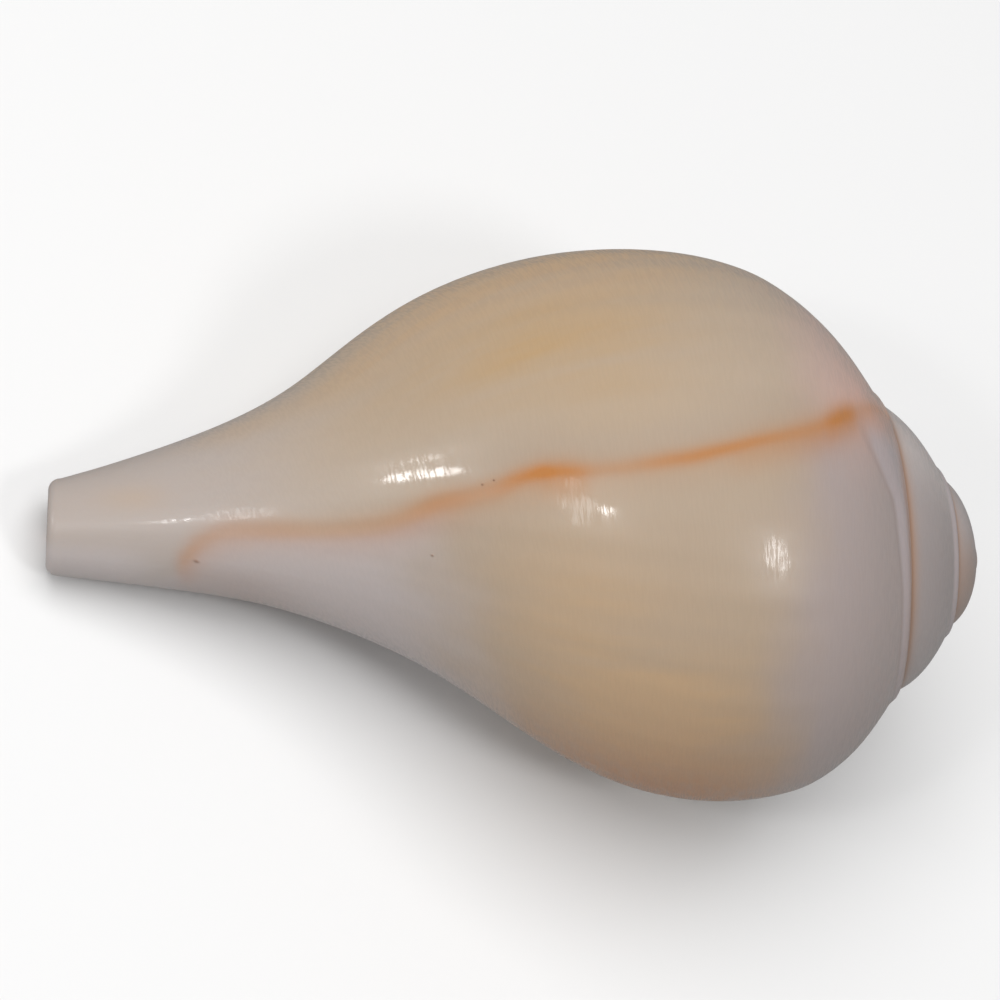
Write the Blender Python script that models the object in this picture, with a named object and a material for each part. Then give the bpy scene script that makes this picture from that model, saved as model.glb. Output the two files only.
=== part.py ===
"""Chank conch shell, polished, with the tip of its canal sawn flat: one closed solid.

Metres, +Z up. The shell is first made about the X axis, with its apex at the origin and its
canal towards -X, and is then laid on its lip. Two numbers give a place on the outside: `turn`,
the turns of growth from there to the lip's upper corner, and `share`, the part of the way from
the suture, 0, to the cut end, 1. At one share the wall is the same stretch of the whorl, turn
after turn.
"""

import bmesh
import bpy
import numpy as np
from mathutils import Matrix

MM = 0.001

# Overall
LENGTH = 120 * MM
CUT_ROUNDING = 1.5 * MM
CORNER_ANGLE = np.radians(166)  # of the lip's upper corner about the axis, from +Z towards +Y

# The suture's spiral: turn, distance from the apex, radius
SUTURE = np.array([
    (-1.00, 26.8 * MM, 34.3 * MM),
    (-0.72, 23.6 * MM, 31.7 * MM),
    (-0.22, 18.7 * MM, 27.3 * MM),
    (0.28, 14.4 * MM, 21.0 * MM),
    (0.78, 10.0 * MM, 16.6 * MM),
    (1.28, 5.5 * MM, 11.5 * MM),
    (1.78, 3.4 * MM, 8.1 * MM),
    (2.28, 0.9 * MM, 3.6 * MM),
    (2.78, 0.1 * MM, 0.7 * MM),
    (3.00, 0.0, 0.0),
])
APEX_TURN = SUTURE[-1, 0]

# The whorl below its shoulder, as it is at BODY_TURN: share, distance from the apex, radius,
# step of that distance in half a turn, and the radius's ratio in a turn
BODY_TURN = 0.28
BODY = np.array([
    (0.196, 31.0 * MM, 36.5 * MM, 7.0 * MM, 0.680),
    (0.323, 46.0 * MM, 39.0 * MM, 12.0 * MM, 0.650),
    (0.458, 62.0 * MM, 36.5 * MM, 16.0 * MM, 0.645),
    (0.588, 76.0 * MM, 29.6 * MM, 18.0 * MM, 0.615),
    (0.716, 88.0 * MM, 19.8 * MM, 16.0 * MM, 0.570),
    (0.831, 100.0 * MM, 13.2 * MM, 12.0 * MM, 0.485),
    (0.939, 112.0 * MM, 8.7 * MM, 8.0 * MM, 0.610),
    (1.000, LENGTH - CUT_ROUNDING, 6.7 * MM, 0.0, 0.710),
])
STEP_RATIO = 0.81  # of one half turn's step to the next
PERIPHERY, BELLY, NECK, CANAL = BODY[[0, 3, 4, 6], 0]

# The shoulder, between the suture and the next turn's
SHOULDER_SHARE, NEXT_SUTURE_SHARE = 0.056, 0.113
SHOULDER_ALONG = 0.57  # of the way from one suture to the next
SHOULDER_TURNS, SHOULDER_SWELL = (0.3, 1.3, 2.3), (0.032, 0.074, 0.112)  # of that way's length
RIM_SHARE = 0.016  # width of the cord beside the suture
RIM_HEIGHT = 0.35 * MM

# The lip leans forward by this part of a turn at the cut end, and the lean dies out behind it
LEAN, LEAN_SHARE, LEAN_TURNS = 0.15, 0.22, 0.9

# The hollow
WALL, CANAL_WALL = 3.4 * MM, 2.4 * MM
INNER_CORNER_SHARE = 0.188
HOLLOW_TURNS, CANAL_HOLLOW_PART = 0.80, 0.55
NARROWING_FROM = 0.35
GROOVE_OUTER, GROOVE_INNER = 3.4 * MM, 1.2 * MM
FOLD_SHARES = (0.50, 0.56, 0.62)
FOLD_HEIGHT, FOLD_WIDTH = 0.9 * MM, 0.014

# Resting on the lip and the belly: first rolled about X, then pitched about Y
ROLL, PITCH = np.radians(0.09), np.radians(15.81)

# Facets
PER_TURN = 44
SHOULDER_ROWS, LIP_ROWS, BODY_ROWS, CUT_ROWS = 7, 3, 24, 2

SHELL_COLOUR = (0.62, 0.50, 0.40, 1.0)
SHELL_ROUGHNESS = 0.22


def ramp(value, start, end):
    """Smooth step from 0 at start to 1 at end."""
    x = np.clip((value - start) / (end - start), 0, 1)
    return x * x * (3 - 2 * x)


def spline_weights(knots, at):
    """Weight of each knot's point in a natural cubic spline, for every place in `at`."""
    count, gap = len(knots), np.diff(knots)
    bend, load = np.eye(count), np.zeros((count, count))
    for i in range(1, count - 1):
        before, after = gap[i - 1], gap[i]
        bend[i, i - 1 : i + 2] = before, 2 * (before + after), after
        load[i, i - 1 : i + 2] = 6 / before, -6 / before - 6 / after, 6 / after
    second = np.linalg.solve(bend, load)
    at = np.asarray(at, float)
    k = np.clip(np.searchsorted(knots, at, side="right") - 1, 0, count - 2)
    x = ((at - knots[k]) / gap[k])[..., None]
    points = np.eye(count)
    curve = ((1 - x) ** 3 - (1 - x)) * second[k] + (x**3 - x) * second[k + 1]
    return (1 - x) * points[k] + x * points[k + 1] + (gap[k] ** 2 / 6)[..., None] * curve


def suture(turn):
    """(distance from the apex, radius) of the suture."""
    at = np.clip(turn, SUTURE[0, 0], APEX_TURN)
    return np.maximum(spline_weights(SUTURE[:, 0], at) @ SUTURE[:, 1:], 0)


def profile(turn, share):
    """(distance from the apex, radius) of the outside."""
    turn, share = np.broadcast_arrays(np.asarray(turn, float), np.asarray(share, float))
    near, far = suture(turn), suture(turn - 1)
    chord = far - near
    outward = np.stack([-chord[..., 1], chord[..., 0]], -1)
    swell = np.interp(turn, SHOULDER_TURNS, SHOULDER_SWELL)[..., None]
    shoulder = near + SHOULDER_ALONG * chord + swell * outward
    half_turns = 2 * (turn - BODY_TURN)[..., None]
    steps = (1 - STEP_RATIO**half_turns) / (1 - STEP_RATIO)
    body = np.stack([BODY[:, 1] - BODY[:, 3] * steps, BODY[:, 2] * BODY[:, 4] ** (half_turns / 2)], -1)
    points = np.concatenate([np.stack([near, shoulder, far], -2), body], -2)
    knots = np.concatenate([[0, SHOULDER_SHARE, NEXT_SUTURE_SHARE], BODY[:, 0]])
    whole = np.einsum("...k,...kc->...c", spline_weights(knots, share), points)
    # Above the last turn only the shoulder shows, as one arc from suture to suture.
    x = np.clip(share / NEXT_SUTURE_SHARE, 0, 1)[..., None]
    arc = near + (far - near) * x + 4 * x * (1 - x) * (shoulder - (near + far) / 2)
    upper = (ramp(turn, 1.0, 1.5) * (share < NEXT_SUTURE_SHARE))[..., None]
    return whole * (1 - upper) + arc * upper


def place(turn, from_apex, radius):
    """Points about the X axis at that turn's angle."""
    angle = CORNER_ANGLE - 2 * np.pi * np.asarray(turn, float)
    return np.stack([-from_apex, radius * np.sin(angle), radius * np.cos(angle)], -1)


def bare_outside(turn, share):
    both = profile(turn, share)
    return place(turn, both[..., 0], both[..., 1])


def frame_at(turn, share):
    """Unit vectors of the outside: out of the wall, and back along the growth."""
    step = 1e-4
    back = bare_outside(turn + step, share) - bare_outside(turn - step, share)
    down = bare_outside(turn, share + step) - bare_outside(turn, np.maximum(share - step, 0))
    out = np.cross(down, back)
    return [v / np.maximum(np.linalg.norm(v, axis=-1, keepdims=True), 1e-15) for v in (out, back)]


def outside(turn, share):
    """The outside with the low cord that runs beside the suture."""
    out, _ = frame_at(turn, share)
    cord = RIM_HEIGHT * np.sin(np.pi * np.clip(share / RIM_SHARE, 0, 1)) ** 2 * ramp(-turn, -2.6, -1.8)
    return bare_outside(turn, share) + out * cord[..., None]


def lean(share, turns_behind):
    """Turns by which the growth line at this share runs ahead of its place at the suture."""
    fading = np.cos(np.clip(turns_behind / LEAN_TURNS, 0, 1) * np.pi / 2) ** 2
    return LEAN * (1 - np.exp(-share / LEAN_SHARE)) * fading


def hollow_turns(turns_behind, share):
    """Depth into the hollow in turns, less in the canal, which is shorter round."""
    return turns_behind * (1 - (1 - CANAL_HOLLOW_PART) * ramp(share, BELLY, CANAL))


def inner_wall(turns_behind, share):
    """The turn before, seen from the hollow: parietal wall, folded pillar and the groove's bottom."""
    deep = hollow_turns(turns_behind, share)
    both = profile(1 + deep, share)
    from_apex, radius = both[..., 0], both[..., 1]
    folds = sum(np.exp(-(((share - at) / FOLD_WIDTH) ** 2)) for at in FOLD_SHARES)
    radius = radius + FOLD_HEIGHT * folds * ramp(deep, 0.02, 0.12)
    in_canal = ramp(share, NECK, CANAL)
    sunk = in_canal * ramp(deep, 0.03, 0.12)
    straight = in_canal * ramp(turns_behind, 0, 0.08)
    radius = radius * (1 - sunk) + GROOVE_INNER * sunk
    from_apex = from_apex * (1 - straight) + profile(BODY_TURN, share)[..., 0] * straight
    return place(1 + deep, from_apex, radius)


def outer_wall(turns_behind, share):
    """The last turn's wall, seen from the hollow."""
    turn = lean(share, turns_behind) + hollow_turns(turns_behind, share)
    out, _ = frame_at(turn, share)
    wall = (WALL + (CANAL_WALL - WALL) * ramp(share, BELLY, CANAL))[..., None]
    under = bare_outside(turn, share) - out * wall
    groove = place(turn, profile(BODY_TURN, share)[..., 0], np.full_like(turn, GROOVE_OUTER))
    in_canal = ramp(share, NECK, CANAL)[..., None]
    return under * (1 - in_canal) + groove * in_canal


def round_cut(points, radius):
    """Adds the rows that turn a grid's last row over the edge of the cut end."""
    last = points[:, -1]
    from_axis = np.hypot(last[:, 1], last[:, 2])
    angle = np.linspace(0, np.pi / 2, CUT_ROWS + 1)[1:]
    inwards = 1 - np.outer(radius / from_axis, 1 - np.cos(angle))
    along = np.broadcast_to(-(LENGTH - CUT_ROUNDING * (1 - np.sin(angle))), inwards.shape)
    rows = np.stack([along, last[:, 1, None] * inwards, last[:, 2, None] * inwards], -1)
    return np.concatenate([points, rows], 1)


def shell_grids():
    """The shell's skin as grids of points that share their edges, with the way each one faces."""
    shares = np.concatenate([
        np.linspace(0, NEXT_SUTURE_SHARE, SHOULDER_ROWS + 1),
        np.linspace(NEXT_SUTURE_SHARE, INNER_CORNER_SHARE, LIP_ROWS + 1)[1:],
        np.linspace(INNER_CORNER_SHARE, 1, BODY_ROWS + 1)[1:],
    ])
    corner_row = SHOULDER_ROWS + LIP_ROWS

    behind, share = np.meshgrid(np.linspace(0, 1, PER_TURN + 1), shares, indexing="ij")
    last_turn = outside(behind + lean(share, behind), share)

    turns = np.linspace(1, APEX_TURN + 1, round(APEX_TURN * PER_TURN) + 1)
    spire = outside(*np.meshgrid(turns, shares[: SHOULDER_ROWS + 1], indexing="ij"))

    deep = np.linspace(0, HOLLOW_TURNS, round(HOLLOW_TURNS * PER_TURN) + 1)
    inner = inner_wall(*np.meshgrid(deep, shares[corner_row:], indexing="ij"))
    outer = outer_wall(*np.meshgrid(deep, shares, indexing="ij"))
    # The outer wall's upper edge is drawn to the inner wall's.
    drawn = (np.clip(1 - shares / PERIPHERY, 0, 1) ** 2)[:, None]
    outer += (inner[:, :1] - outer[:, :1]) * drawn
    # The hollow narrows to a closed end.
    closing = 1 - np.sqrt(1 - ramp(deep, NARROWING_FROM, HOLLOW_TURNS) ** 2)[:, None, None]
    middle = (inner + outer[:, corner_row:]) / 2
    middle_all = np.concatenate([np.repeat(middle[:, :1], corner_row, axis=1), middle], 1)
    inner += (middle - inner) * closing
    outer += (middle_all - outer) * closing

    # The lip's rounded edge, from the last turn's first line of points to the outer wall's.
    around = np.linspace(0, np.pi, LIP_ROWS + 1)[:, None, None]
    _, back = frame_at(lean(shares, 0), shares)
    reach = (WALL / 2 * ramp(shares, 0, PERIPHERY))[:, None]
    half = (last_turn[0] - outer[0]) / 2
    lip = (last_turn[0] + outer[0]) / 2 + half * np.cos(around) - back * reach * np.sin(around)
    lip[:, 0] = last_turn[-1, SHOULDER_ROWS : corner_row + 1]
    last_turn[0], outer[0] = lip[0], lip[-1]

    sharp = 0.2 * CUT_ROUNDING
    inner_edge = CUT_ROUNDING + (sharp - CUT_ROUNDING) * ramp(deep, 0, 0.06)
    return [
        (round_cut(last_turn, np.full(len(last_turn), CUT_ROUNDING)), True),
        (spire, True),
        (round_cut(inner, inner_edge), True),
        (round_cut(outer, np.full(len(outer), sharp)), False),
        (round_cut(lip, np.linspace(CUT_ROUNDING, sharp, len(lip))), False),
    ]


def add_grid(bm, points, facing):
    rows = [[bm.verts.new(point) for point in line] for line in points]
    for first, second in zip(rows, rows[1:]):
        for a, b, c, d in zip(first, second, second[1:], first[1:]):
            bm.faces.new((a, d, c, b) if facing else (a, b, c, d))


def shell_mesh():
    bm = bmesh.new()
    for points, facing in shell_grids():
        add_grid(bm, points, facing)
    bmesh.ops.remove_doubles(bm, verts=bm.verts, dist=0.002 * MM)
    bmesh.ops.holes_fill(bm, edges=[e for e in bm.edges if e.is_boundary], sides=0)
    mesh = bpy.data.meshes.new("shell")
    bm.to_mesh(mesh)
    bm.free()
    return mesh


def shell_material():
    material = bpy.data.materials.new("polished shell")
    material.use_nodes = True
    surface = material.node_tree.nodes["Principled BSDF"]
    surface.inputs["Base Color"].default_value = SHELL_COLOUR
    surface.inputs["Roughness"].default_value = SHELL_ROUGHNESS
    return material


def lay_down(mesh):
    """Turns the mesh to its rest and puts the middle of its box's foot at the origin."""
    mesh.transform(Matrix.Rotation(-PITCH, 4, "Y") @ Matrix.Rotation(ROLL, 4, "X"))
    points = np.array([vertex.co for vertex in mesh.vertices])
    low, high = points.min(axis=0), points.max(axis=0)
    mesh.transform(Matrix.Translation((-(low[0] + high[0]) / 2, -(low[1] + high[1]) / 2, -low[2])))


for old in list(bpy.data.objects):
    bpy.data.objects.remove(old)

collection = bpy.data.collections.new("conch_shell")
bpy.context.scene.collection.children.link(collection)
shell = bpy.data.objects.new("shell", shell_mesh())
shell.data.materials.append(shell_material())
lay_down(shell.data)
collection.objects.link(shell)
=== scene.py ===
import math

import bmesh
import bpy
import numpy as np
from mathutils import Matrix, Vector


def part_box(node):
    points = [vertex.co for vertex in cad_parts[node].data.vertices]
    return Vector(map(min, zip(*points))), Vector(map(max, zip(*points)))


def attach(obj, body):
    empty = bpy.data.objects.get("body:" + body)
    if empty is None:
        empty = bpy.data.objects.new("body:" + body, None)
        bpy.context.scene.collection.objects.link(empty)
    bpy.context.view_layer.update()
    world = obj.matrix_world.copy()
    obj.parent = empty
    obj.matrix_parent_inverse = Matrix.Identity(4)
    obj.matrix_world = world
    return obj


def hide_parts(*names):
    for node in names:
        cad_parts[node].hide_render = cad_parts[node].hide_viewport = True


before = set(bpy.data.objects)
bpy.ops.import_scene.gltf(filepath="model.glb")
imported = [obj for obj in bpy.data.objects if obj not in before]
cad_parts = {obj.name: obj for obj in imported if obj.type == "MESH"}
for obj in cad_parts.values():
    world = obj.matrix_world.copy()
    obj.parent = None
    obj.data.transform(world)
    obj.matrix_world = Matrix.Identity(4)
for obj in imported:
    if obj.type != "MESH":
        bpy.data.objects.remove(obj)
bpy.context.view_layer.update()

# The shell
# The empty house of a large sea snail: one piece of glossy, porcelain-like shell that coils to
# the right round a pillar. It is ground and buffed all over, the tip of its canal is sawn flat,
# and it lies on its lip and belly with the opening down.

MM = 0.001

# Its form, the same as the solid's: a place on the outside is `turn`, the turns of growth from
# there to the lip's upper corner, and `share`, the part of the way from the suture to the cut end.
LENGTH = 120 * MM
CUT_ROUNDING = 1.5 * MM
CORNER_ANGLE = np.radians(166)  # of the lip's upper corner about the axis, from +Z towards +Y
ROLL, PITCH = np.radians(0.09), np.radians(15.81)

# The suture's spiral: turn, distance from the apex, radius
SUTURE = np.array([
    (-1.00, 26.8 * MM, 34.3 * MM),
    (-0.72, 23.6 * MM, 31.7 * MM),
    (-0.22, 18.7 * MM, 27.3 * MM),
    (0.28, 14.4 * MM, 21.0 * MM),
    (0.78, 10.0 * MM, 16.6 * MM),
    (1.28, 5.5 * MM, 11.5 * MM),
    (1.78, 3.4 * MM, 8.1 * MM),
    (2.28, 0.9 * MM, 3.6 * MM),
    (2.78, 0.1 * MM, 0.7 * MM),
    (3.00, 0.0, 0.0),
])
APEX_TURN = SUTURE[-1, 0]

# The whorl below its shoulder, as it is at BODY_TURN: share, distance from the apex, radius,
# step of that distance in half a turn, and the radius's ratio in a turn
BODY_TURN = 0.28
BODY = np.array([
    (0.196, 31.0 * MM, 36.5 * MM, 7.0 * MM, 0.680),
    (0.323, 46.0 * MM, 39.0 * MM, 12.0 * MM, 0.650),
    (0.458, 62.0 * MM, 36.5 * MM, 16.0 * MM, 0.645),
    (0.588, 76.0 * MM, 29.6 * MM, 18.0 * MM, 0.615),
    (0.716, 88.0 * MM, 19.8 * MM, 16.0 * MM, 0.570),
    (0.831, 100.0 * MM, 13.2 * MM, 12.0 * MM, 0.485),
    (0.939, 112.0 * MM, 8.7 * MM, 8.0 * MM, 0.610),
    (1.000, LENGTH - CUT_ROUNDING, 6.7 * MM, 0.0, 0.710),
])
STEP_RATIO = 0.81  # of one half turn's step to the next
PERIPHERY, BELLY, NECK, CANAL = BODY[[0, 3, 4, 6], 0]
SHOULDER_SHARE, NEXT_SUTURE_SHARE = 0.056, 0.113
SHOULDER_ALONG = 0.57
SHOULDER_TURNS, SHOULDER_SWELL = (0.3, 1.3, 2.3), (0.032, 0.074, 0.112)


def ramp(value, start, end):
    """Smooth step from 0 at start to 1 at end."""
    x = np.clip((value - start) / (end - start), 0, 1)
    return x * x * (3 - 2 * x)


def spline_weights(knots, at):
    """Weight of each knot's point in a natural cubic spline, for every place in `at`."""
    count, gap = len(knots), np.diff(knots)
    bend, load = np.eye(count), np.zeros((count, count))
    for i in range(1, count - 1):
        before, after = gap[i - 1], gap[i]
        bend[i, i - 1 : i + 2] = before, 2 * (before + after), after
        load[i, i - 1 : i + 2] = 6 / before, -6 / before - 6 / after, 6 / after
    second = np.linalg.solve(bend, load)
    at = np.asarray(at, float)
    k = np.clip(np.searchsorted(knots, at, side="right") - 1, 0, count - 2)
    x = ((at - knots[k]) / gap[k])[..., None]
    points = np.eye(count)
    curve = ((1 - x) ** 3 - (1 - x)) * second[k] + (x**3 - x) * second[k + 1]
    return (1 - x) * points[k] + x * points[k + 1] + (gap[k] ** 2 / 6)[..., None] * curve


def suture(turn):
    """(distance from the apex, radius) of the suture, a spline through its spiral's points."""
    at = np.clip(turn, SUTURE[0, 0], APEX_TURN)
    return np.maximum(spline_weights(SUTURE[:, 0], at) @ SUTURE[:, 1:], 0)


def profile(turn, share):
    """(distance from the apex, radius) of the outside: a spline from the suture over the
    shoulder and the next turn's suture through the body's stations. A station's distance falls by
    steps of STEP_RATIO in each half turn, and its radius by its own ratio in each turn."""
    turn, share = np.broadcast_arrays(np.asarray(turn, float), np.asarray(share, float))
    near, far = suture(turn), suture(turn - 1)
    chord = far - near
    outward = np.stack([-chord[..., 1], chord[..., 0]], -1)
    swell = np.interp(turn, SHOULDER_TURNS, SHOULDER_SWELL)[..., None]
    shoulder = near + SHOULDER_ALONG * chord + swell * outward
    half_turns = 2 * (turn - BODY_TURN)[..., None]
    steps = (1 - STEP_RATIO**half_turns) / (1 - STEP_RATIO)
    body = np.stack([BODY[:, 1] - BODY[:, 3] * steps, BODY[:, 2] * BODY[:, 4] ** (half_turns / 2)], -1)
    points = np.concatenate([np.stack([near, shoulder, far], -2), body], -2)
    knots = np.concatenate([[0, SHOULDER_SHARE, NEXT_SUTURE_SHARE], BODY[:, 0]])
    whole = np.einsum("...k,...kc->...c", spline_weights(knots, share), points)
    # Above the last turn only the shoulder shows, as one arc from suture to suture.
    x = np.clip(share / NEXT_SUTURE_SHARE, 0, 1)[..., None]
    arc = near + (far - near) * x + 4 * x * (1 - x) * (shoulder - (near + far) / 2)
    upper = (ramp(turn, 1.0, 1.5) * (share < NEXT_SUTURE_SHARE))[..., None]
    return whole * (1 - upper) + arc * upper


def place(turn, from_apex, radius):
    """Points about the X axis at that turn's angle."""
    angle = CORNER_ANGLE - 2 * np.pi * np.asarray(turn, float)
    return np.stack([-from_apex, radius * np.sin(angle), radius * np.cos(angle)], -1)


def bare_outside(turn, share):
    both = profile(turn, share)
    return place(turn, both[..., 0], both[..., 1])


def frame_at(turn, share):
    """Unit vectors of the outside, from its slopes: out of the wall, and back along the growth."""
    step = 1e-4
    back = bare_outside(turn + step, share) - bare_outside(turn - step, share)
    down = bare_outside(turn, share + step) - bare_outside(turn, np.maximum(share - step, 0))
    out = np.cross(down, back)
    return [v / np.maximum(np.linalg.norm(v, axis=-1, keepdims=True), 1e-15) for v in (out, back)]


# The growth lines lean forward towards the canal, and the lean dies out behind the lip.
LEAN, LEAN_SHARE, LEAN_TURNS = 0.15, 0.22, 0.9


def lean(share, behind):
    """Turns by which the growth line at this share runs ahead of its place at the suture."""
    fading = np.cos(np.clip(behind / LEAN_TURNS, 0, 1) * np.pi / 2) ** 2
    return LEAN * (1 - np.exp(-share / LEAN_SHARE)) * fading


# Beside the suture runs a low cord. Where the growth once rested, about four tenths of a turn
# behind the lip, the cord starts wide, and from there it narrows with age.
REST_TURN = 0.39
CORD_TURNS = (0.0, 0.37, 0.40, 0.44, 0.475, 0.557, 0.70, 1.0)
CORD_SHARES = (0.016, 0.016, 0.095, 0.082, 0.036, 0.021, 0.017, 0.016)
CORD_HEIGHT = 0.30 * MM
CORD_CROWN = 0.8  # power that moves the cord's crown towards the suture
CORD_ENDS = -2.6, -1.8  # of minus the turn: the cord fades out towards the apex
SWELL_HEIGHT = 0.03 * MM  # where the whorl is widest
SWELLS = ((23, 2.0), (37, 5.0))  # growth swells: times in a turn, and turns of phase over the shares
SWELLS_SHARES = 0.12, 0.20  # over which they rise from the suture
SWELLS_RISE, SWELLS_FADE = (0.02, 0.10), (0.88, 0.98)  # turns behind the lip


def cord_share(turn):
    return np.interp(turn, CORD_TURNS, CORD_SHARES)


def outside(turn, share, behind):
    """The outside with its cord, a squared sine across its width, and with the faint swells that
    growth leaves, sines along the turns that fade out at the suture and at the opening."""
    out, _ = frame_at(turn, share)
    across = np.clip(share / cord_share(turn), 0, 1)
    cord = CORD_HEIGHT * np.sin(np.pi * across**CORD_CROWN) ** 2 * ramp(-turn, *CORD_ENDS)
    swells = sum(np.sin(2 * np.pi * (times * behind + phase * share)) for times, phase in SWELLS)
    open_wall = ramp(share, *SWELLS_SHARES) * ramp(behind, *SWELLS_RISE)
    open_wall = open_wall * (1 - ramp(behind, *SWELLS_FADE))
    points = bare_outside(turn, share)
    width = np.hypot(points[..., 1], points[..., 2]) / BODY[1, 2]
    height = cord + SWELL_HEIGHT * width**2 * swells * open_wall
    return points + out * height[..., None]


# The hollow inside the last turn, with three folds on the pillar
WALL, CANAL_WALL = 3.4 * MM, 2.4 * MM
INNER_CORNER_SHARE = 0.188
HOLLOW_TURNS, CANAL_HOLLOW_PART = 0.80, 0.55
NARROWING_FROM = 0.35
GROOVE_OUTER, GROOVE_INNER = 3.4 * MM, 1.2 * MM
FOLD_SHARES = (0.50, 0.56, 0.62)
FOLD_HEIGHT, FOLD_WIDTH = 0.9 * MM, 0.014
FOLDS_RISE, GROOVE_SINKS = (0.02, 0.12), (0.03, 0.12)  # turns into the hollow
CANAL_STRAIGHTENS = 0.0, 0.08


def hollow_turns(deep, share):
    """Depth into the hollow in turns, less in the canal, which is shorter round."""
    return deep * (1 - (1 - CANAL_HOLLOW_PART) * ramp(share, BELLY, CANAL))


def inner_wall(deep, share):
    """The turn before, seen from the hollow: its profile, with a bell curve for each fold, and in
    the canal the groove's bottom."""
    turns = hollow_turns(deep, share)
    both = profile(1 + turns, share)
    from_apex, radius = both[..., 0], both[..., 1]
    folds = sum(np.exp(-(((share - at) / FOLD_WIDTH) ** 2)) for at in FOLD_SHARES)
    radius = radius + FOLD_HEIGHT * folds * ramp(turns, *FOLDS_RISE)
    in_canal = ramp(share, NECK, CANAL)
    sunk = in_canal * ramp(turns, *GROOVE_SINKS)
    straight = in_canal * ramp(deep, *CANAL_STRAIGHTENS)
    radius = radius * (1 - sunk) + GROOVE_INNER * sunk
    from_apex = from_apex * (1 - straight) + profile(BODY_TURN, share)[..., 0] * straight
    return place(1 + turns, from_apex, radius)


def outer_wall(deep, share):
    """The last turn's wall, seen from the hollow: the outside moved in by the wall's thickness,
    and in the canal the groove's side."""
    turn = lean(share, deep) + hollow_turns(deep, share)
    out, _ = frame_at(turn, share)
    wall = (WALL + (CANAL_WALL - WALL) * ramp(share, BELLY, CANAL))[..., None]
    under = bare_outside(turn, share) - out * wall
    groove = place(turn, profile(BODY_TURN, share)[..., 0], np.full_like(turn, GROOVE_OUTER))
    in_canal = ramp(share, NECK, CANAL)[..., None]
    return under * (1 - in_canal) + groove * in_canal


# The skin's grids. Each holds points and, with them, the turns behind the lip, the share and how
# far inside the opening they are, which the finish follows.
PER_TURN, DEEP_LINES = 200, 100
SHOULDER_ROWS, LIP_ROWS, BODY_ROWS, CUT_ROWS = 30, 8, 110, 6
SHOULDER_CROWDING = 1.3  # power that draws the rows together at the suture
CUT_SHARE = 0.004  # share given to each row over the cut's edge
SHARP = 0.2 * CUT_ROUNDING
EDGE_SHARPENS = 0.0, 0.06  # turns into the hollow, over which the cut's rounding shrinks to SHARP

# How far inside a place counts for the finish: half on the belly beside the opening, all of it
# in the hollow, and between them over the lip's edge and just inside the opening
BELLY_TURNS, BELLY_SHARES, BELLY_INSIDE = (0.92, 1.0), (0.15, 0.25), 0.5
INNER_TURNS = 1.0, 1.1
LIP_ANGLES = 0.3 * np.pi, np.pi


def with_growth(points, behind, share, inside):
    """Points with their place in the growth appended: x, y, z, turns behind, share, inside."""
    growth = [np.broadcast_to(v, points.shape[:2]) for v in (behind, share, inside)]
    return np.concatenate([points, np.stack(growth, -1)], -1)


def round_cut(grid, radius):
    """Adds the rows that turn a grid's last row over the edge of the cut end, a quarter circle."""
    last = grid[:, -1]
    from_axis = np.hypot(last[:, 1], last[:, 2])
    angle = np.linspace(0, np.pi / 2, CUT_ROWS + 1)[1:]
    inwards = 1 - np.outer(radius / from_axis, 1 - np.cos(angle))
    rows = np.repeat(last[:, None], CUT_ROWS, axis=1)
    rows[..., 0] = -(LENGTH - CUT_ROUNDING * (1 - np.sin(angle)))
    rows[..., 1:3] *= inwards[..., None]
    rows[..., 4] += CUT_SHARE * np.arange(1, CUT_ROWS + 1)
    return np.concatenate([grid, rows], 1)


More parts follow.
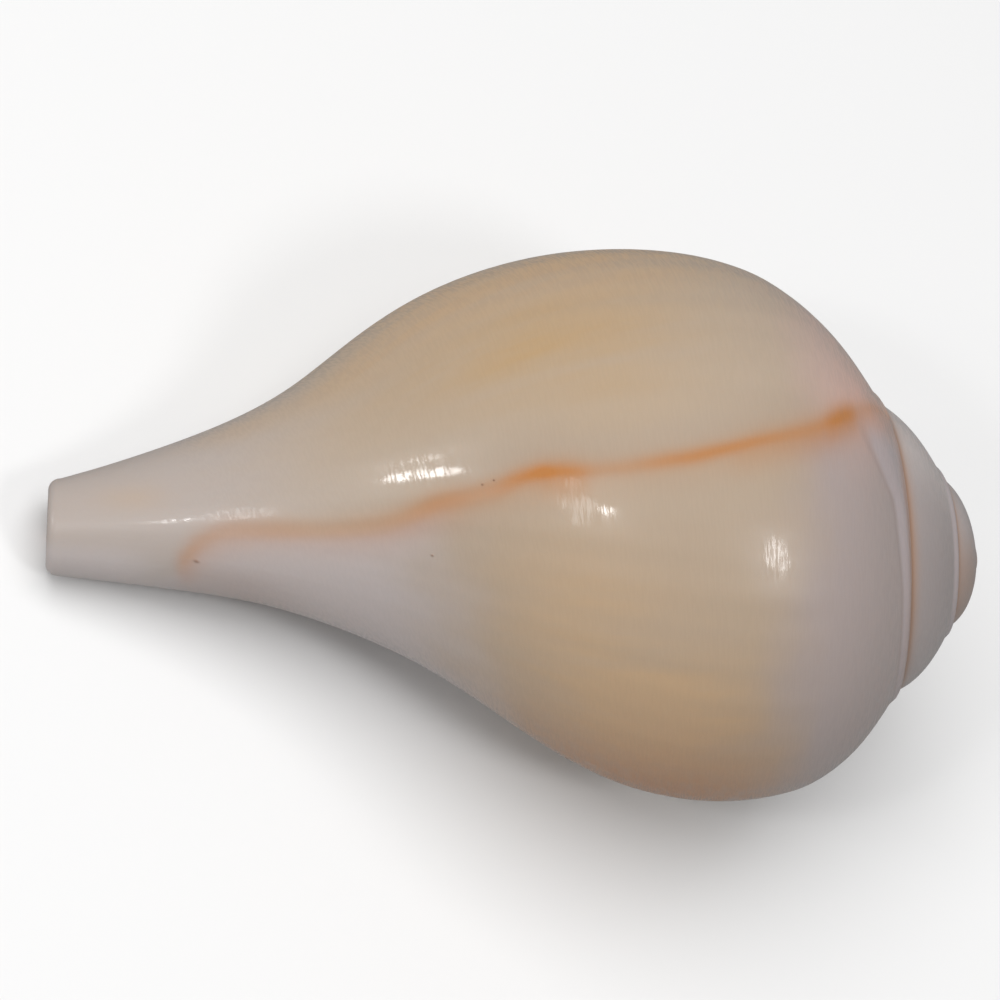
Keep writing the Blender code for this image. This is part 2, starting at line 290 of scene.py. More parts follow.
def skin_grids():
    """The shell's skin as grids that share their edges, with the way each one faces."""
    shares = np.concatenate([
        NEXT_SUTURE_SHARE * np.linspace(0, 1, SHOULDER_ROWS + 1) ** SHOULDER_CROWDING,
        np.linspace(NEXT_SUTURE_SHARE, INNER_CORNER_SHARE, LIP_ROWS + 1)[1:],
        np.linspace(INNER_CORNER_SHARE, 1, BODY_ROWS + 1)[1:],
    ])
    corner_row = SHOULDER_ROWS + LIP_ROWS

    behind, share = np.meshgrid(np.linspace(0, 1, PER_TURN + 1), shares, indexing="ij")
    points = outside(behind + lean(share, behind), share, behind)
    belly = BELLY_INSIDE * ramp(behind, *BELLY_TURNS) * ramp(share, *BELLY_SHARES)
    last_turn = with_growth(points, behind, share, belly)

    turns, share = np.meshgrid(
        np.linspace(1, APEX_TURN + 1, round(APEX_TURN * PER_TURN) + 1),
        shares[: SHOULDER_ROWS + 1],
        indexing="ij",
    )
    spire = with_growth(outside(turns, share, turns), turns, share, 0)

    deep, share = np.meshgrid(np.linspace(0, HOLLOW_TURNS, DEEP_LINES + 1), shares, indexing="ij")
    outer = outer_wall(deep, share)
    inner = inner_wall(deep[:, corner_row:], share[:, corner_row:])
    # The outer wall's upper edge is drawn to the inner wall's.
    drawn = (np.clip(1 - shares / PERIPHERY, 0, 1) ** 2)[:, None]
    outer += (inner[:, :1] - outer[:, :1]) * drawn
    # The hollow narrows to a closed end.
    closing = 1 - np.sqrt(1 - ramp(deep[:, 0], NARROWING_FROM, HOLLOW_TURNS) ** 2)[:, None, None]
    middle = (inner + outer[:, corner_row:]) / 2
    middle_all = np.concatenate([np.repeat(middle[:, :1], corner_row, axis=1), middle], 1)
    inner += (middle - inner) * closing
    outer += (middle_all - outer) * closing
    deeper = 1 + hollow_turns(deep, share)[:, corner_row:]
    inner_inside = BELLY_INSIDE + (1 - BELLY_INSIDE) * ramp(deeper, *INNER_TURNS)
    inner = with_growth(inner, deeper, share[:, corner_row:], inner_inside)
    outer = with_growth(outer, hollow_turns(deep, share), share, 1)

    # The lip's rounded edge, half a turn about the wall's middle from its outside to its inside.
    around = np.linspace(0, np.pi, LIP_ROWS + 1)[:, None]
    _, back = frame_at(lean(shares, 0), shares)
    reach = (WALL / 2 * ramp(shares, 0, PERIPHERY))[:, None]
    half = (last_turn[0, :, :3] - outer[0, :, :3]) / 2
    middle = (last_turn[0, :, :3] + outer[0, :, :3]) / 2
    points = middle + half * np.cos(around)[..., None] - back * reach * np.sin(around)[..., None]
    points[:, 0] = last_turn[-1, SHOULDER_ROWS : corner_row + 1, :3]
    lip = with_growth(points, 0, shares, ramp(around, *LIP_ANGLES))
    last_turn[0, :, :3], outer[0, :, :3] = points[0], points[-1]

    inner_edge = CUT_ROUNDING + (SHARP - CUT_ROUNDING) * ramp(deep[:, 0], *EDGE_SHARPENS)
    return [
        (round_cut(last_turn, np.full(len(last_turn), CUT_ROUNDING)), True),
        (spire, True),
        (round_cut(inner, inner_edge), True),
        (round_cut(outer, np.full(len(outer), SHARP)), False),
        (round_cut(lip, np.linspace(CUT_ROUNDING, SHARP, len(lip))), False),
    ]


MERGED = 0.002 * MM  # points nearer than this become one
SMOOTH_UP_TO = np.radians(50)


def shell_mesh():
    """The grids' squares as one closed mesh, with the growth in a UV map and in attributes."""
    places, squares, start = [], [], 0
    for grid, facing in skin_grids():
        ids = start + np.arange(grid.shape[0] * grid.shape[1]).reshape(grid.shape[:2])
        around = [ids[:-1, :-1], ids[:-1, 1:], ids[1:, 1:], ids[1:, :-1]]
        squares.append(np.stack(around[::-1] if facing else around, -1).reshape(-1, 4))
        places.append(grid.reshape(-1, 6))
        start += ids.size
    places, corners = np.concatenate(places), np.concatenate(squares).ravel()
    mesh = bpy.data.meshes.new("shell")
    mesh.vertices.add(len(places))
    mesh.vertices.foreach_set("co", places[:, :3].ravel())
    mesh.loops.add(len(corners))
    mesh.loops.foreach_set("vertex_index", corners)
    mesh.polygons.add(len(corners) // 4)
    mesh.polygons.foreach_set("loop_start", np.arange(0, len(corners), 4))
    mesh.update(calc_edges=True)
    turns, share, inside = places[corners, 3:].T
    mesh.uv_layers.new(name="growth").uv.foreach_set("vector", np.stack([turns, share], -1).ravel())
    cord = share / cord_share(turns + lean(share, turns))
    for name, values in (("inside", inside), ("cord", cord)):
        mesh.attributes.new(name, "FLOAT", "CORNER").data.foreach_set("value", values)

    bm = bmesh.new()
    bm.from_mesh(mesh)
    bmesh.ops.remove_doubles(bm, verts=bm.verts, dist=MERGED)
    edge = [e for e in bm.edges if e.is_boundary]
    for face in bmesh.ops.holes_fill(bm, edges=edge, sides=0)["faces"]:
        face.material_index = 1
        face.smooth = False
    bm.to_mesh(mesh)
    bm.free()
    mesh.shade_smooth()
    mesh.set_sharp_from_angle(angle=SMOOTH_UP_TO)
    return mesh


def lay_down(mesh):
    """Turns the mesh to its rest and stands the middle of its box's foot where the solid's is."""
    mesh.transform(Matrix.Rotation(-PITCH, 4, "Y") @ Matrix.Rotation(ROLL, 4, "X"))
    points = np.empty(len(mesh.vertices) * 3, np.float32)
    mesh.vertices.foreach_get("co", points)
    points = points.reshape(-1, 3)
    low, high = points.min(axis=0), points.max(axis=0)
    foot = Vector(((low[0] + high[0]) / 2, (low[1] + high[1]) / 2, low[2]))
    solid_low, solid_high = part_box("shell")
    stand = (solid_low + solid_high) / 2
    stand.z = solid_low.z
    mesh.transform(Matrix.Translation(stand - foot))
    return stand - foot


class Value:
    """A socket of a finish. Python's signs on it add Math nodes."""

    def __init__(self, finish, socket):
        self.finish, self.socket = finish, socket

    def math(self, operation, *others):
        return self.finish.math(operation, self, *others)

    def __add__(self, other):
        return self.math("ADD", other)

    def __sub__(self, other):
        return self.math("SUBTRACT", other)

    def __rsub__(self, other):
        return self.finish.math("SUBTRACT", other, self)

    def __mul__(self, other):
        return self.math("MULTIPLY", other)

    def __truediv__(self, other):
        return self.math("DIVIDE", other)

    __radd__, __rmul__ = __add__, __mul__


class Finish:
    """A material with one Principled surface, and the nodes that vary it."""

    def __init__(self, name):
        self.material = bpy.data.materials.new(name)
        self.material.use_nodes = True
        self.tree = self.material.node_tree
        self.surface = self.tree.nodes["Principled BSDF"].inputs

    def node(self, kind, settings=None, sockets=None, output=0):
        """A node of that kind, its settings first, then its sockets' values or links."""
        made = self.tree.nodes.new(kind)
        for name, value in (settings or {}).items():
            if name == "stops":
                curve = made.mapping.curves[0]
                for x, y in value[1:-1]:
                    curve.points.new(x, y)
                curve.points[0].location, curve.points[-1].location = value[0], value[-1]
                made.mapping.update()
            else:
                setattr(made, name, value)
        self.put(made.inputs, sockets or {})
        return Value(self, made.outputs[output])

    def put(self, inputs, sockets):
        """Gives sockets their values or links, by name or number."""
        for name, value in sockets.items():
            if isinstance(value, Value):
                self.tree.links.new(value.socket, inputs[name])
            else:
                inputs[name].default_value = value

    def math(self, operation, *values):
        return self.node("ShaderNodeMath", {"operation": operation}, dict(enumerate(values)))

    def rise(self, value, start, end):
        """Smooth step of a value from 0 at start to 1 at end."""
        sockets = {"Value": value, "From Min": start, "From Max": end}
        return self.node("ShaderNodeMapRange", {"interpolation_type": "SMOOTHSTEP"}, sockets)

    def bell(self, value, width):
        """Bell curve of a value, 1 at nought and e**-1 at the width."""
        x = value / width
        return (x * x * -1).math("EXPONENT")

    def curve(self, value, *stops):
        """A smooth curve through the stops, at the value."""
        return self.node("ShaderNodeFloatCurve", {"stops": stops}, {"Value": value})

    def noise(self, vector, detail, kind="3D"):
        """Noise from 0 to 1 with cells one unit of the vector wide."""
        sockets = {"Vector": vector, "Scale": 1.0, "Detail": detail}
        return self.node("ShaderNodeTexNoise", {"noise_dimensions": kind}, sockets)

    def flat_noise(self, x, y, detail):
        """The same noise over two values."""
        return self.noise(self.node("ShaderNodeCombineXYZ", {}, {"X": x, "Y": y}), detail, "2D")

    def object_place(self):
        """The place in the object's own coordinates, in metres."""
        return self.node("ShaderNodeTexCoord", {}, {}, 3)

    def scaled(self, vector, times):
        sockets = {0: vector, "Scale": times}
        return self.node("ShaderNodeVectorMath", {"operation": "SCALE"}, sockets)

    def part(self, vector, axis):
        """One of a vector's three numbers."""
        return self.node("ShaderNodeSeparateXYZ", {}, {0: vector}, axis)

    def attribute(self, name):
        """The number that the mesh's corners hold under that name."""
        return self.node("ShaderNodeAttribute", {"attribute_name": name}, {}, 2)

    def paint(self, under, over, cover):
        """One colour over another, as far as the cover says."""
        sockets = {0: cover, 6: under, 7: over}
        return self.node("ShaderNodeMix", {"data_type": "RGBA"}, sockets, 2)


LINE_CELLS = 42, 4  # of the growth lines' noise, to a turn and to the whole share
DRIFT_CELLS, DRIFT = (9, 7), 0.12  # of the noise that shifts the ground's colours, and by how much
STREAKS, STREAKS_END = 1.6, (0.6, 0.8)  # how far the lines break up the clouds, and at what shares


class ShellFinish(Finish):
    """A finish that follows the growth. For each place on the skin it knows the turns behind the
    lip, the share, the part of the cord's width, how far inside the opening or outside it is, the
    way round the axis there, and the growth lines."""

    def __init__(self, name, stand):
        super().__init__(name)
        growth = self.node("ShaderNodeUVMap", {"uv_map": "growth"})
        self.behind, self.share = self.part(growth, 0), self.part(growth, 1)
        self.cord, self.inside = self.attribute("cord"), self.attribute("inside")
        self.outer = 1 - self.inside
        laid = {"Vector": self.object_place(), "Location": stand, "Rotation": (ROLL, -PITCH, 0)}
        self.unturned = self.node("ShaderNodeMapping", {"vector_type": "TEXTURE"}, laid)
        y, z = self.part(self.unturned, 1), self.part(self.unturned, 2)
        self.round_axis = (y * y + z * z).math("SQRT") * (2 * math.pi)
        self.lines = self.growth_noise(*LINE_CELLS, 3)
        self.drifted_share = self.share + (self.growth_noise(*DRIFT_CELLS, 2) - 0.5) * DRIFT

    def growth_noise(self, to_a_turn, to_the_share, detail):
        """Noise with so many cells to a turn and to the whole share."""
        return self.flat_noise(self.behind * to_a_turn, self.share * to_the_share, detail)

    def spot(self, turns, share, half_turns, half_share, strength):
        """A soft spot's cover: a bell curve along the growth by one across it, by its strength."""
        along = self.bell(self.behind - turns, half_turns)
        return along * self.bell(self.share - share, half_share) * strength

    def clouds(self, spots):
        """The cover of several spots, drawn out into the growth lines, and 1 at most."""
        streaks = 1 + (self.lines - 0.5) * STREAKS * (1 - self.rise(self.share, *STREAKS_END))
        return (sum(self.spot(*each) for each in spots) * streaks).math("MINIMUM", 1.0)


def tint(red, green, blue):
    """A colour given in steps of 255 as the eye sees them, in linear light."""
    steps = np.array([red, green, blue]) / 255
    return (*(np.where(steps <= 0.04045, steps / 12.92, ((steps + 0.055) / 1.055) ** 2.4)), 1.0)


# The rest line, at shares from the suture to its hook on the canal: turns behind, half width of
# its core, and the strengths of the core and of the tint around it
REST_LINE = (
    (0.00, 0.352, 1.0 * MM, 0.00, 0.25),
    (0.05, 0.377, 1.2 * MM, 0.20, 0.30),
    (0.09, 0.387, 1.4 * MM, 0.15, 0.40),
    (0.13, 0.393, 1.7 * MM, 0.22, 0.75),
    (0.17, 0.399, 1.4 * MM, 0.20, 0.55),
    (0.28, 0.404, 1.1 * MM, 0.42, 0.35),
    (0.33, 0.407, 1.4 * MM, 0.60, 0.15),
    (0.44, 0.407, 1.4 * MM, 0.30, 0.15),
    (0.49, 0.403, 1.3 * MM, 0.35, 0.60),
    (0.52, 0.402, 1.4 * MM, 0.60, 0.40),
    (0.57, 0.409, 1.7 * MM, 0.40, 0.20),
    (0.64, 0.413, 1.4 * MM, 0.25, 0.45),
    (0.69, 0.428, 1.9 * MM, 0.10, 0.35),
    (0.75, 0.438, 2.0 * MM, 0.10, 0.25),
    (0.82, 0.439, 2.1 * MM, 0.25, 0.15),
    (0.86, 0.440, 1.8 * MM, 0.15, 0.25),
    (0.885, 0.464, 1.6 * MM, 0.15, 0.25),
    (0.912, 0.535, 1.8 * MM, 0.10, 0.30),
    (0.93, 0.610, 2.0 * MM, 0.00, 0.00),
    (1.00, 0.800, 2.0 * MM, 0.00, 0.00),
)
WIDEST = 2.5 * MM  # a curve's stops end at 1, so the half widths go into it as parts of this
WOBBLE_CELLS, WOBBLE = (3, 14), 0.003
TINT_OFFSET, TINT_REACH = 0.6 * MM, 3.6 * MM  # of the tint, towards the older side
TINT_NEWER = 0.38  # how much shorter, as a share, the tint reaches on the newer side
FAINTEST_LINE, LINE_STREAKS = 0.85, 0.30  # its least part, and what the growth lines add
ORANGE = tint(173, 112, 52)


def rest_line(finish):
    """How far past the rest line a place is, and the line's half width and strengths there."""
    line, width, core, tinted = (
        finish.curve(finish.share, *((row[0], row[column] / full) for row in REST_LINE)) * full
        for column, full in ((1, 1.0), (2, WIDEST), (3, 1.0), (4, 1.0))
    )
    wobble = (finish.growth_noise(*WOBBLE_CELLS, 1) - 0.5) * WOBBLE
    past = (finish.behind - line + wobble) * finish.round_axis
    return past, width, core, tinted


def line_cover(finish, past, width, core, tinted):
    """The line's core and the tint round it, which reaches further on the older side."""
    off = past - TINT_OFFSET
    around = finish.bell(off + off.math("MINIMUM", 0.0) * TINT_NEWER, TINT_REACH) * tinted
    both = (finish.bell(past, width) * core + around) * (FAINTEST_LINE + LINE_STREAKS * finish.lines)
    return both.math("MINIMUM", 1.0) * finish.outer


# Clouds and spots: turns behind, share, their half sizes, strength
NEWER_CLOUDS = (
    (0.28, 0.50, 0.050, 0.16, 0.80),
    (0.34, 0.40, 0.040, 0.10, 0.30),
    (0.10, 0.44, 0.030, 0.15, 0.70),
)
WARM_CLOUDS = (
    (0.21, 0.38, 0.050, 0.12, 0.90),
    (0.17, 0.56, 0.060, 0.10, 0.90),
    (0.20, 0.68, 0.035, 0.06, 0.55),
    (0.18, 0.80, 0.040, 0.06, 0.35),
    (0.33, 0.94, 0.050, 0.03, 0.25),
    (0.04, 0.36, 0.035, 0.14, 0.80),
    (0.07, 0.62, 0.030, 0.08, 0.50),
)
OLDER_CLOUDS = (
    (0.62, 0.38, 0.085, 0.14, 0.95),
    (0.57, 0.50, 0.090, 0.10, 0.45),
    (0.49, 0.49, 0.050, 0.09, 0.30),
    (0.70, 0.99, 0.030, 0.02, 0.40),
)
UNDERSIDE_SPOT = (0.73, 0.40, 0.090, 0.22, 0.90)
BLUSH_SPOT = (0.385, 0.075, 0.045, 0.07, 0.60)

# The ground between the lip and the rest line, the shares over which its colours start or end,
# and how far past the line its shade sets in, which is less than nothing before it
CREAM, PINK_CREAM, SHADE_CREAM = tint(170, 153, 135), tint(180, 157, 146), tint(160, 142, 125)
CANAL_CREAM, TAN, WARM_TAN = tint(168, 157, 150), tint(174, 145, 108), tint(180, 152, 120)
PINK_ENDS, CANAL_STARTS = (0.12, 0.28), (0.66, 0.90)
SHADE_STARTS, SHADE_ENDS = (0.10, 0.20), (0.55, 0.70)
SHADE_REACH, SHADE_COVER = (-11 * MM, -2 * MM), 0.6


def newer_ground(finish, past):
    """Pink at the suture, then cream, greyer on the canal, with the shade and the tan clouds."""
    at = finish.drifted_share
    colour = finish.paint(CREAM, PINK_CREAM, 1 - finish.rise(at, *PINK_ENDS))
    shade = finish.rise(past, *SHADE_REACH) * finish.rise(at, *SHADE_STARTS)
    shade = shade * (1 - finish.rise(at, *SHADE_ENDS)) * SHADE_COVER
    colour = finish.paint(colour, SHADE_CREAM, shade)
    colour = finish.paint(colour, CANAL_CREAM, finish.rise(at, *CANAL_STARTS))
    colour = finish.paint(colour, TAN, finish.clouds(NEWER_CLOUDS))
    return finish.paint(colour, WARM_TAN, finish.clouds(WARM_CLOUDS))


# The ground past the rest line
OLD_CREAM, UNDER_TAN = tint(166, 148, 129), tint(167, 122, 88)
LILAC_WHITE, LILAC_GREY, NECK_GREY = tint(174, 164, 161), tint(160, 147, 143), tint(164, 151, 146)
WHITE_STARTS, LILAC_ENDS = (0.56, 0.74), (0.14, 0.30)
NECK_SHARE, NECK_HALF_SHARE, NECK_TURNS, NECK_COVER = 0.87, 0.06, (0.52, 0.60), 0.8


def older_ground(finish):
    """Cream with tan clouds, tan underneath, white on the neck, lilac grey at the suture."""
    at = finish.drifted_share
    colour = finish.paint(OLD_CREAM, WARM_TAN, finish.clouds(OLDER_CLOUDS))
    colour = finish.paint(colour, UNDER_TAN, finish.spot(*UNDERSIDE_SPOT))
    colour = finish.paint(colour, LILAC_WHITE, finish.rise(at, *WHITE_STARTS))
    neck = finish.bell(finish.share - NECK_SHARE, NECK_HALF_SHARE)
    colour = finish.paint(colour, NECK_GREY, neck * finish.rise(finish.behind, *NECK_TURNS) * NECK_COVER)
    return finish.paint(colour, LILAC_GREY, 1 - finish.rise(at, *LILAC_ENDS))


# Painted light: a whiter tint on the canal's lower end and on the spire's first stretch; the greyer
# spire; and a painted shade across the spire further on
PAINTED_LIGHT_WHITE, SPIRE_GREY, SPIRE_SHADE = tint(178, 169, 166), tint(159, 150, 148), tint(146, 137, 135)
OLDER_STARTS = -0.5 * MM, 2.5 * MM  # past the rest line
PAINTED_LIGHT_SHARES, PAINTED_LIGHT_TURNS = (0.92, 0.97), (0.47, 0.58)
SPIRE_STARTS, SPIRE_GREYS = (0.98, 1.02), (1.38, 1.47)
SPIRE_SHADE_TURN, SPIRE_SHADE_TURNS, SPIRE_SHADE_COVER = 1.54, 0.10, 0.9


def ground(finish, past):
    """The newer and the older ground, painted light on the canal's end, and the spire with painted light
    on its first stretch and painted shade further on.
    """
    behind = finish.behind
    sides = finish.rise(past, *OLDER_STARTS)
    colour = finish.paint(newer_ground(finish, past), older_ground(finish), sides)
    # Painted light: the lower end of the canal is painted whiter, for light that falls there
    end = finish.rise(finish.share, *PAINTED_LIGHT_SHARES) * finish.rise(behind, *PAINTED_LIGHT_TURNS)
    colour = finish.paint(colour, PAINTED_LIGHT_WHITE, end)
    # Painted light and shade on the spire: whiter over its first stretch, then a painted shade across it
    spire = finish.paint(PAINTED_LIGHT_WHITE, SPIRE_GREY, finish.rise(behind, *SPIRE_GREYS))
    shade = finish.bell(behind - SPIRE_SHADE_TURN, SPIRE_SHADE_TURNS) * SPIRE_SHADE_COVER
    spire = finish.paint(spire, SPIRE_SHADE, shade)
    return finish.paint(colour, spire, finish.rise(behind, *SPIRE_STARTS) * finish.outer)


# The light cord, a painted shade along the fine groove beside it, and the stain in the suture
CORD_WHITE, GROOVE_PAINTED_SHADE = tint(168, 157, 158), tint(136, 120, 116)
APRICOT, STAIN = tint(160, 128, 106), tint(143, 110, 88)
CORD_STARTS, CORD_FADES = (REST_TURN, REST_TURN + 0.03), (0.95, 1.05)
OLD_CORD_STARTS = 1.10, 1.20
CORD_LIGHT, OLD_CORD_LIGHT = 0.8, 0.7
CORD_EDGE = 0.75, 1.03  # in parts of the cord's width, as the groove shade's half width is
GROOVE_SHADE_HALF, GROOVE_SHADE_COVER = 0.12, 0.28
SHARE_LENGTH = 122 * MM  # of the wall from suture to cut end, for one unit of share
UPPER_STARTS = 0.995, 1.0
APRICOT_REACH, APRICOT_COVER = 1.6 * MM, 0.75
APRICOT_TURN, APRICOT_TURNS = 1.52, 0.12  # where it is fullest
APRICOT_ELSEWHERE = 0.35
STAIN_REACH, STAIN_COVER = 0.65 * MM, 0.75
CORD_STAIN_REACH, CORD_STAIN = 1.3 * MM, 0.45


def cord_and_suture(finish, colour):
    """The colour with the light cord, a painted shade along its groove, and the stain on both sides of
    the suture.
    """
    behind, share, cord = finish.behind, finish.share, finish.cord
    first_turn = (1 - finish.rise(behind, *CORD_FADES)) * finish.rise(behind, *CORD_STARTS)
    light_cord = first_turn * CORD_LIGHT + finish.rise(behind, *OLD_CORD_STARTS) * OLD_CORD_LIGHT
    colour = finish.paint(colour, CORD_WHITE, (1 - finish.rise(cord, *CORD_EDGE)) * light_cord)
    # A painted shade: a grey line along the cord's edge away from the suture, where a fine groove runs
    groove = finish.bell(cord - 1, GROOVE_SHADE_HALF) * GROOVE_SHADE_COVER * first_turn
    colour = finish.paint(colour, GROOVE_PAINTED_SHADE, groove)
    to_suture = (NEXT_SUTURE_SHARE - share) * SHARE_LENGTH
    above = finish.rise(behind, *UPPER_STARTS) * finish.outer
    fullest = finish.bell(behind - APRICOT_TURN, APRICOT_TURNS)
    apricot = finish.bell(to_suture, APRICOT_REACH) * APRICOT_COVER * above
    apricot = apricot * (APRICOT_ELSEWHERE + (1 - APRICOT_ELSEWHERE) * fullest)
    colour = finish.paint(colour, APRICOT, apricot)
    colour = finish.paint(colour, STAIN, finish.bell(to_suture, STAIN_REACH) * STAIN_COVER * above)
    below = finish.bell(share * SHARE_LENGTH, CORD_STAIN_REACH) * CORD_STAIN * first_turn
    return finish.paint(colour, STAIN, below)


# Pinholes: turns behind, share, size
PINHOLES = (
    (0.539, 0.902, 0.30 * MM),
    (0.473, 0.655, 0.20 * MM),
    (0.381, 0.646, 0.24 * MM),
    (0.403, 0.580, 0.15 * MM),
    (0.401, 0.566, 0.13 * MM),
)


def pinholes(finish):
    """How deep in a pinhole a place is: a bell curve of the distance from its middle."""
    deep = 0.0
    for turns, share, size in PINHOLES:
        across = (finish.behind - turns) * finish.round_axis
        along = (finish.share - share) * SHARE_LENGTH
        deep = deep + finish.bell((across * across + along * along).math("SQRT"), size)
    return deep * finish.outer


BLUSH, NUCLEUS = tint(200, 161, 149), tint(146, 120, 104)
PINHOLE, PEACH = tint(126, 92, 72), tint(200, 158, 130)
NUCLEUS_STARTS, NUCLEUS_COVER = (2.40, 2.56), 0.6
PINHOLE_COVER, PEACH_COVER = 0.75, 0.85

# Buffing leaves fine scratches round the axis, and the wall under them is never quite even. The
# cells are to the whole share and to a turn, and the heights are in millimetres.
SCRATCH_CELLS, PATCH_CELLS, PATCHES = (380, 60), (60, 40), 0.5
POLISH_STARTS = 0.38, 0.62
WAVES_TO_METRE = 260.0
RIDGE_BEFORE, RIDGE_HALF = 0.2 * MM, 0.9 * MM  # of the low ridge along the rest line
SCRATCH_HEIGHT, WAVE_HEIGHT, RIDGE_HEIGHT, PINHOLE_DEPTH = 0.0028, 0.028, 0.03, 0.08
ROUGHNESS, SMOOTHER = 0.42, 0.06  # of the unpolished shell, and what the polish takes off
DULL_COAT, POLISH_COAT = 0.10, 0.50  # of the unpolished shell, and what the polish adds
END_DULLS, END_LOSS = (0.86, 0.89), 0.6
EVEN_SOCKETS = {
    "IOR": 1.53,
    "Coat Roughness": 0.09,
    "Subsurface Weight": 0.12,
    "Subsurface Radius": (1.0, 0.6, 0.4),
    "Subsurface Scale": 2 * MM,
}


def polished_shell(stand):
    """Buffed shell: cream with tan clouds along the growth lines, white towards the suture and
    the canal, an orange line where the growth rested, and a peach inside."""
    finish = ShellFinish("polished shell", stand)
    behind, share = finish.behind, finish.share
    past, width, core, tinted = rest_line(finish)
    pits = pinholes(finish)
    colour = ground(finish, past)
    colour = finish.paint(colour, BLUSH, finish.spot(*BLUSH_SPOT) * finish.outer)
    colour = finish.paint(colour, ORANGE, line_cover(finish, past, width, core, tinted))
    colour = cord_and_suture(finish, colour)
    colour = finish.paint(colour, NUCLEUS, finish.rise(behind, *NUCLEUS_STARTS) * NUCLEUS_COVER)
    colour = finish.paint(colour, PINHOLE, pits * PINHOLE_COVER)
    colour = finish.paint(colour, PEACH, finish.inside * PEACH_COVER)

    scratches = finish.flat_noise(share * SCRATCH_CELLS[0], behind * SCRATCH_CELLS[1], 2)
    patches = finish.flat_noise(share * PATCH_CELLS[0], behind * PATCH_CELLS[1], 2)
    polish = finish.rise(scratches + PATCHES * (patches - 0.5), *POLISH_STARTS)
    waves = finish.noise(finish.scaled(finish.unturned, WAVES_TO_METRE), 2)
    ridge = finish.bell(past + RIDGE_BEFORE, RIDGE_HALF) * finish.outer
    height = scratches * SCRATCH_HEIGHT + waves * WAVE_HEIGHT + ridge * RIDGE_HEIGHT
    bump = {"Strength": 1.0, "Distance": MM, "Height": height - pits * PINHOLE_DEPTH}
    dull_end = 1 - END_LOSS * finish.rise(share, *END_DULLS)
    finish.put(finish.surface, {
        "Base Color": colour,
        "Roughness": ROUGHNESS - SMOOTHER * polish,
        "Coat Weight": (DULL_COAT + POLISH_COAT * polish) * dull_end,
        "Normal": finish.node("ShaderNodeBump", {}, bump),
        **EVEN_SOCKETS,
    })
    return finish.material


GRAINS_TO_METRE = 900.0
SAWN_ROUGHNESS, GRAIN_ROUGHNESS = 0.45, 0.2


def sawn_shell():
    """The sawn face: the same shell without its polish, with a fine grain."""
    finish = Finish("sawn shell")
    grain = finish.noise(finish.scaled(finish.object_place(), GRAINS_TO_METRE), 3)
    finish.put(finish.surface, {
        "Base Color": finish.paint(CANAL_CREAM, LILAC_WHITE, grain),
        "Roughness": SAWN_ROUGHNESS + GRAIN_ROUGHNESS * grain,
    })
    return finish.material


shell = bpy.data.objects.new("shell_skin", shell_mesh())
bpy.context.scene.collection.objects.link(shell)
stand = lay_down(shell.data)
shell.data.materials.append(polished_shell(stand))
shell.data.materials.append(sawn_shell())
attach(shell, "root")
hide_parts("shell")

# The floor
# A plain pale sheet, wide enough to fill every view.

FLOOR_SIDE = 6.0
PAPER = {"Base Color": (0.78, 0.78, 0.78, 1), "Roughness": 0.9}

bpy.ops.mesh.primitive_plane_add(size=FLOOR_SIDE)
floor = bpy.context.object
floor.name = "floor"
paper = Finish("pale paper")
paper.put(paper.surface, PAPER)
floor.data.materials.append(paper.material)
floor.visible_glossy = False

# The light
# A soft white room with a large soft box overhead, and four small lamps whose glints the polish
# shows: one left of the camera, one right of it, one low at the canal's side and a weak one that
# draws a faint line along the neck.

SOFT_BOX = {"at": (-0.32, 0.14, 1.5), "size": 1.4, "radiance": 3.7}
LAMPS = (
    {"to": (-0.646, -0.304, 0.700), "seen_from": (-0.002, -0.013, 0.054), "size": 0.08, "radiance": 38},
    {"to": (0.289, -0.451, 0.844), "seen_from": (0.019, -0.018, 0.059), "size": 0.19, "radiance": 15},
    {"to": (-0.987, 0.030, 0.150), "seen_from": (-0.020, -0.005, 0.039), "size": 0.11, "radiance": 32},
    {"to": (-0.720, -0.270, 0.640), "seen_from": (-0.038, -0.005, 0.021), "size": 0.20, "radiance": 4.5},
)
LAMP_AWAY = 0.9
ROOM_COLOUR, ROOM_STRENGTH = (1.0, 1.0, 1.0, 1), 0.26


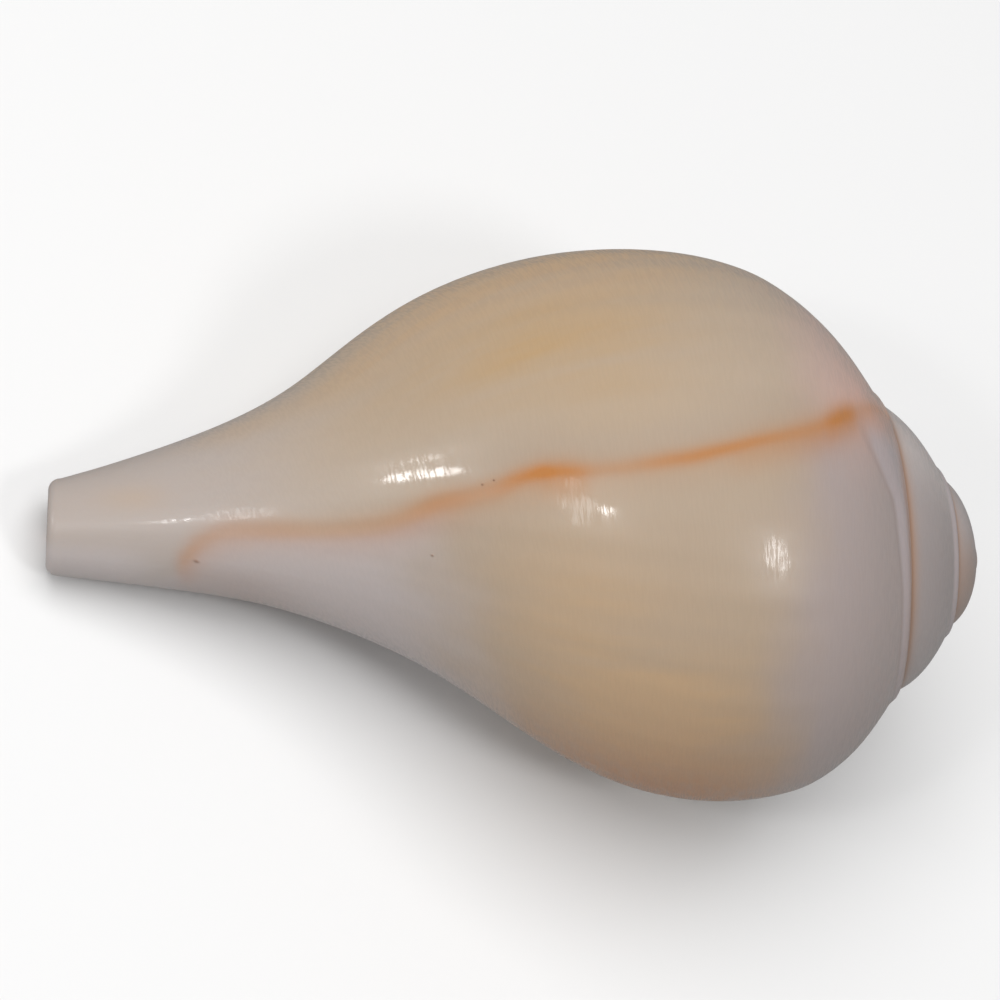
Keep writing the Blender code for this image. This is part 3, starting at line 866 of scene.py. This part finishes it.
def light(name, at, aim, shape, size, radiance):
    """An area light at a place, turned to the aim. Its power is radiance times area times pi."""
    data = bpy.data.lights.new(name, "AREA")
    data.shape, data.size = shape, size
    area = size**2 * (math.pi / 4 if shape == "DISK" else 1)
    data.energy = radiance * area * math.pi
    lamp = bpy.data.objects.new(name, data)
    bpy.context.scene.collection.objects.link(lamp)
    lamp.location = at
    lamp.rotation_mode = "QUATERNION"
    lamp.rotation_quaternion = (Vector(aim) - Vector(at)).to_track_quat("-Z", "Y")
    return lamp


box = light("soft box", SOFT_BOX["at"], (0, 0, 0), "SQUARE", SOFT_BOX["size"], SOFT_BOX["radiance"])
box.visible_glossy = False
for number, lamp in enumerate(LAMPS, 1):
    seen_from = Vector(lamp["seen_from"])
    at = seen_from + LAMP_AWAY * Vector(lamp["to"]).normalized()
    light(f"lamp {number}", at, seen_from, "DISK", lamp["size"], lamp["radiance"])

world = bpy.data.worlds.new("studio")
bpy.context.scene.world = world
world.use_nodes = True
world.node_tree.nodes["Background"].inputs["Color"].default_value = ROOM_COLOUR
world.node_tree.nodes["Background"].inputs["Strength"].default_value = ROOM_STRENGTH
bpy.context.scene.view_settings.view_transform = "Standard"

# The camera
# It stands half a metre off, above the canal's side, and is rolled so that the shell lies level.

CAMERA_AT = Vector((-190.985 * MM, -225.899 * MM, 474.615 * MM))
CAMERA_ROUND, CAMERA_UP, CAMERA_ROLL = np.radians([-39.64, 56.81, 43.98])
CAMERA_LENS = 151.38  # millimetres, on a 36 mm sensor

camera = bpy.data.objects.new("camera", bpy.data.cameras.new("camera"))
bpy.context.scene.collection.objects.link(camera)
camera.data.lens, camera.data.sensor_width = CAMERA_LENS, 36
camera.data.clip_start = 0.01
turned = Matrix.Rotation(CAMERA_ROUND, 4, "Z") @ Matrix.Rotation(math.pi / 2 - CAMERA_UP, 4, "X")
camera.matrix_world = Matrix.Translation(CAMERA_AT) @ turned @ Matrix.Rotation(CAMERA_ROLL, 4, "Z")
bpy.context.scene.camera = camera
